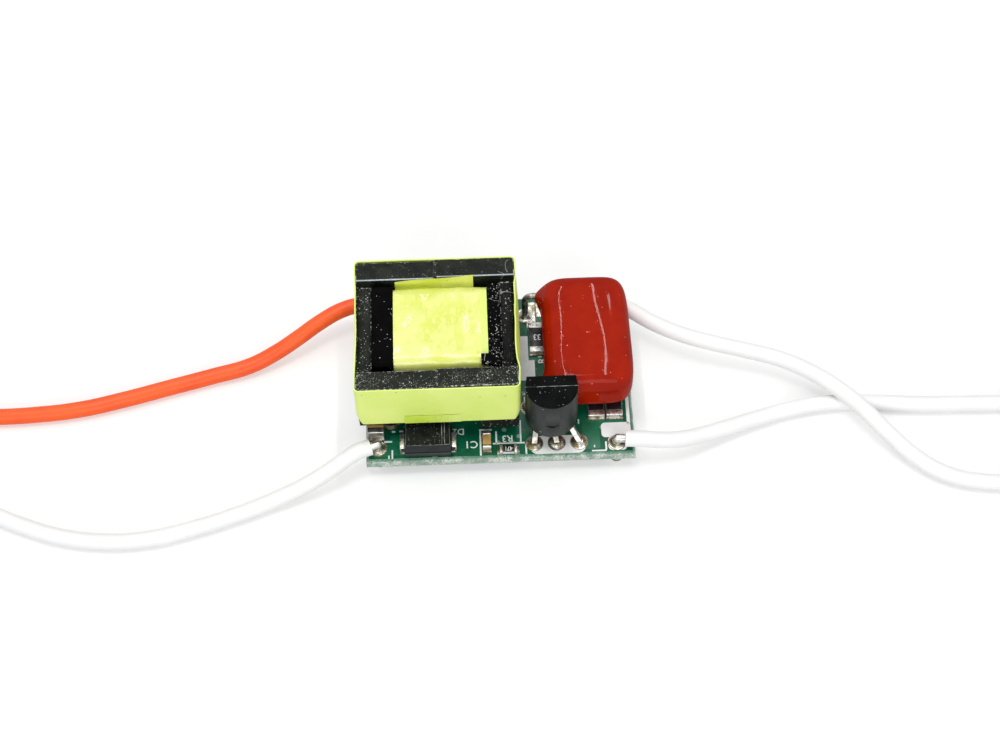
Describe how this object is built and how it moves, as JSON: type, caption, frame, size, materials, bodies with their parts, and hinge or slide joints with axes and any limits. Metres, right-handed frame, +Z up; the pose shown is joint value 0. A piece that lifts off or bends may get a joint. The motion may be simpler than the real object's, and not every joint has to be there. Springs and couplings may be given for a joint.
{
  "type": "led driver",
  "caption": "Bare LED driver: a small circuit board with a taped ferrite transformer, a dipped film capacitor, a transistor, chip parts and soldered leads.",
  "frame": {"origin": "middle of the module's own box, without its leads, on the level of the solder joints that it stands on", "axes": "+X along the board from the output leads to the input leads, +Y to the back edge, +Z up out of the side that carries the parts"},
  "size_m": [0.142, 0.0241, 0.0114],
  "materials": {
    "board": "green solder mask on glass fibre, satin",
    "tin": "tin plated, satin",
    "solder": "solder, bright",
    "bobbin": "black moulded plastic, satin",
    "ferrite": "sintered ferrite, ground, dusty",
    "winding": "enamelled copper wire",
    "tape": "yellow polyester tape, glossy",
    "core_tape": "yellow polyester tape, glossy",
    "epoxy": "dipped red epoxy, glossy",
    "package": "black moulded epoxy, matt",
    "chip_ceramic": "fired ceramic, matt",
    "chip_black": "black glaze over white ceramic",
    "lead_orange": "soft insulation, satin",
    "lead_white": "soft insulation, satin"
  },
  "bodies": {
    "root": {"circuit_board": "board", "copper_pads": "tin", "bobbin": "bobbin", "transformer_pins": "tin", "core_half_left": "ferrite", "core_half_right": "ferrite", "primary_winding": "winding", "barrier_tape": "tape", "secondary_winding": "winding", "winding_tape": "tape", "core_tape": "core_tape", "film_capacitor": "epoxy", "film_capacitor_leads": "tin", "transistor_body": "package", "transistor_leads": "tin", "diode_body": "package", "diode_terminals": "tin", "bridge_body": "package", "bridge_terminals": "tin", "filter_capacitor": "chip_ceramic", "filter_capacitor_ends": "tin", "sense_resistor": "chip_black", "sense_resistor_ends": "tin", "output_capacitor": "chip_ceramic", "output_capacitor_ends": "tin", "snubber_resistor": "chip_black", "snubber_resistor_ends": "tin", "startup_resistors": "chip_black", "startup_resistor_ends": "tin", "chip_solder": "solder", "joint_solder": "solder", "lead_conductors": "tin", "output_positive_lead": "lead_orange", "output_negative_lead": "lead_white", "input_line_lead": "lead_white", "input_neutral_lead": "lead_white", "output_positive_tip": "tin", "output_negative_tip": "tin", "input_line_tip": "tin", "input_neutral_tip": "tin"}
  },
  "joints": []
}
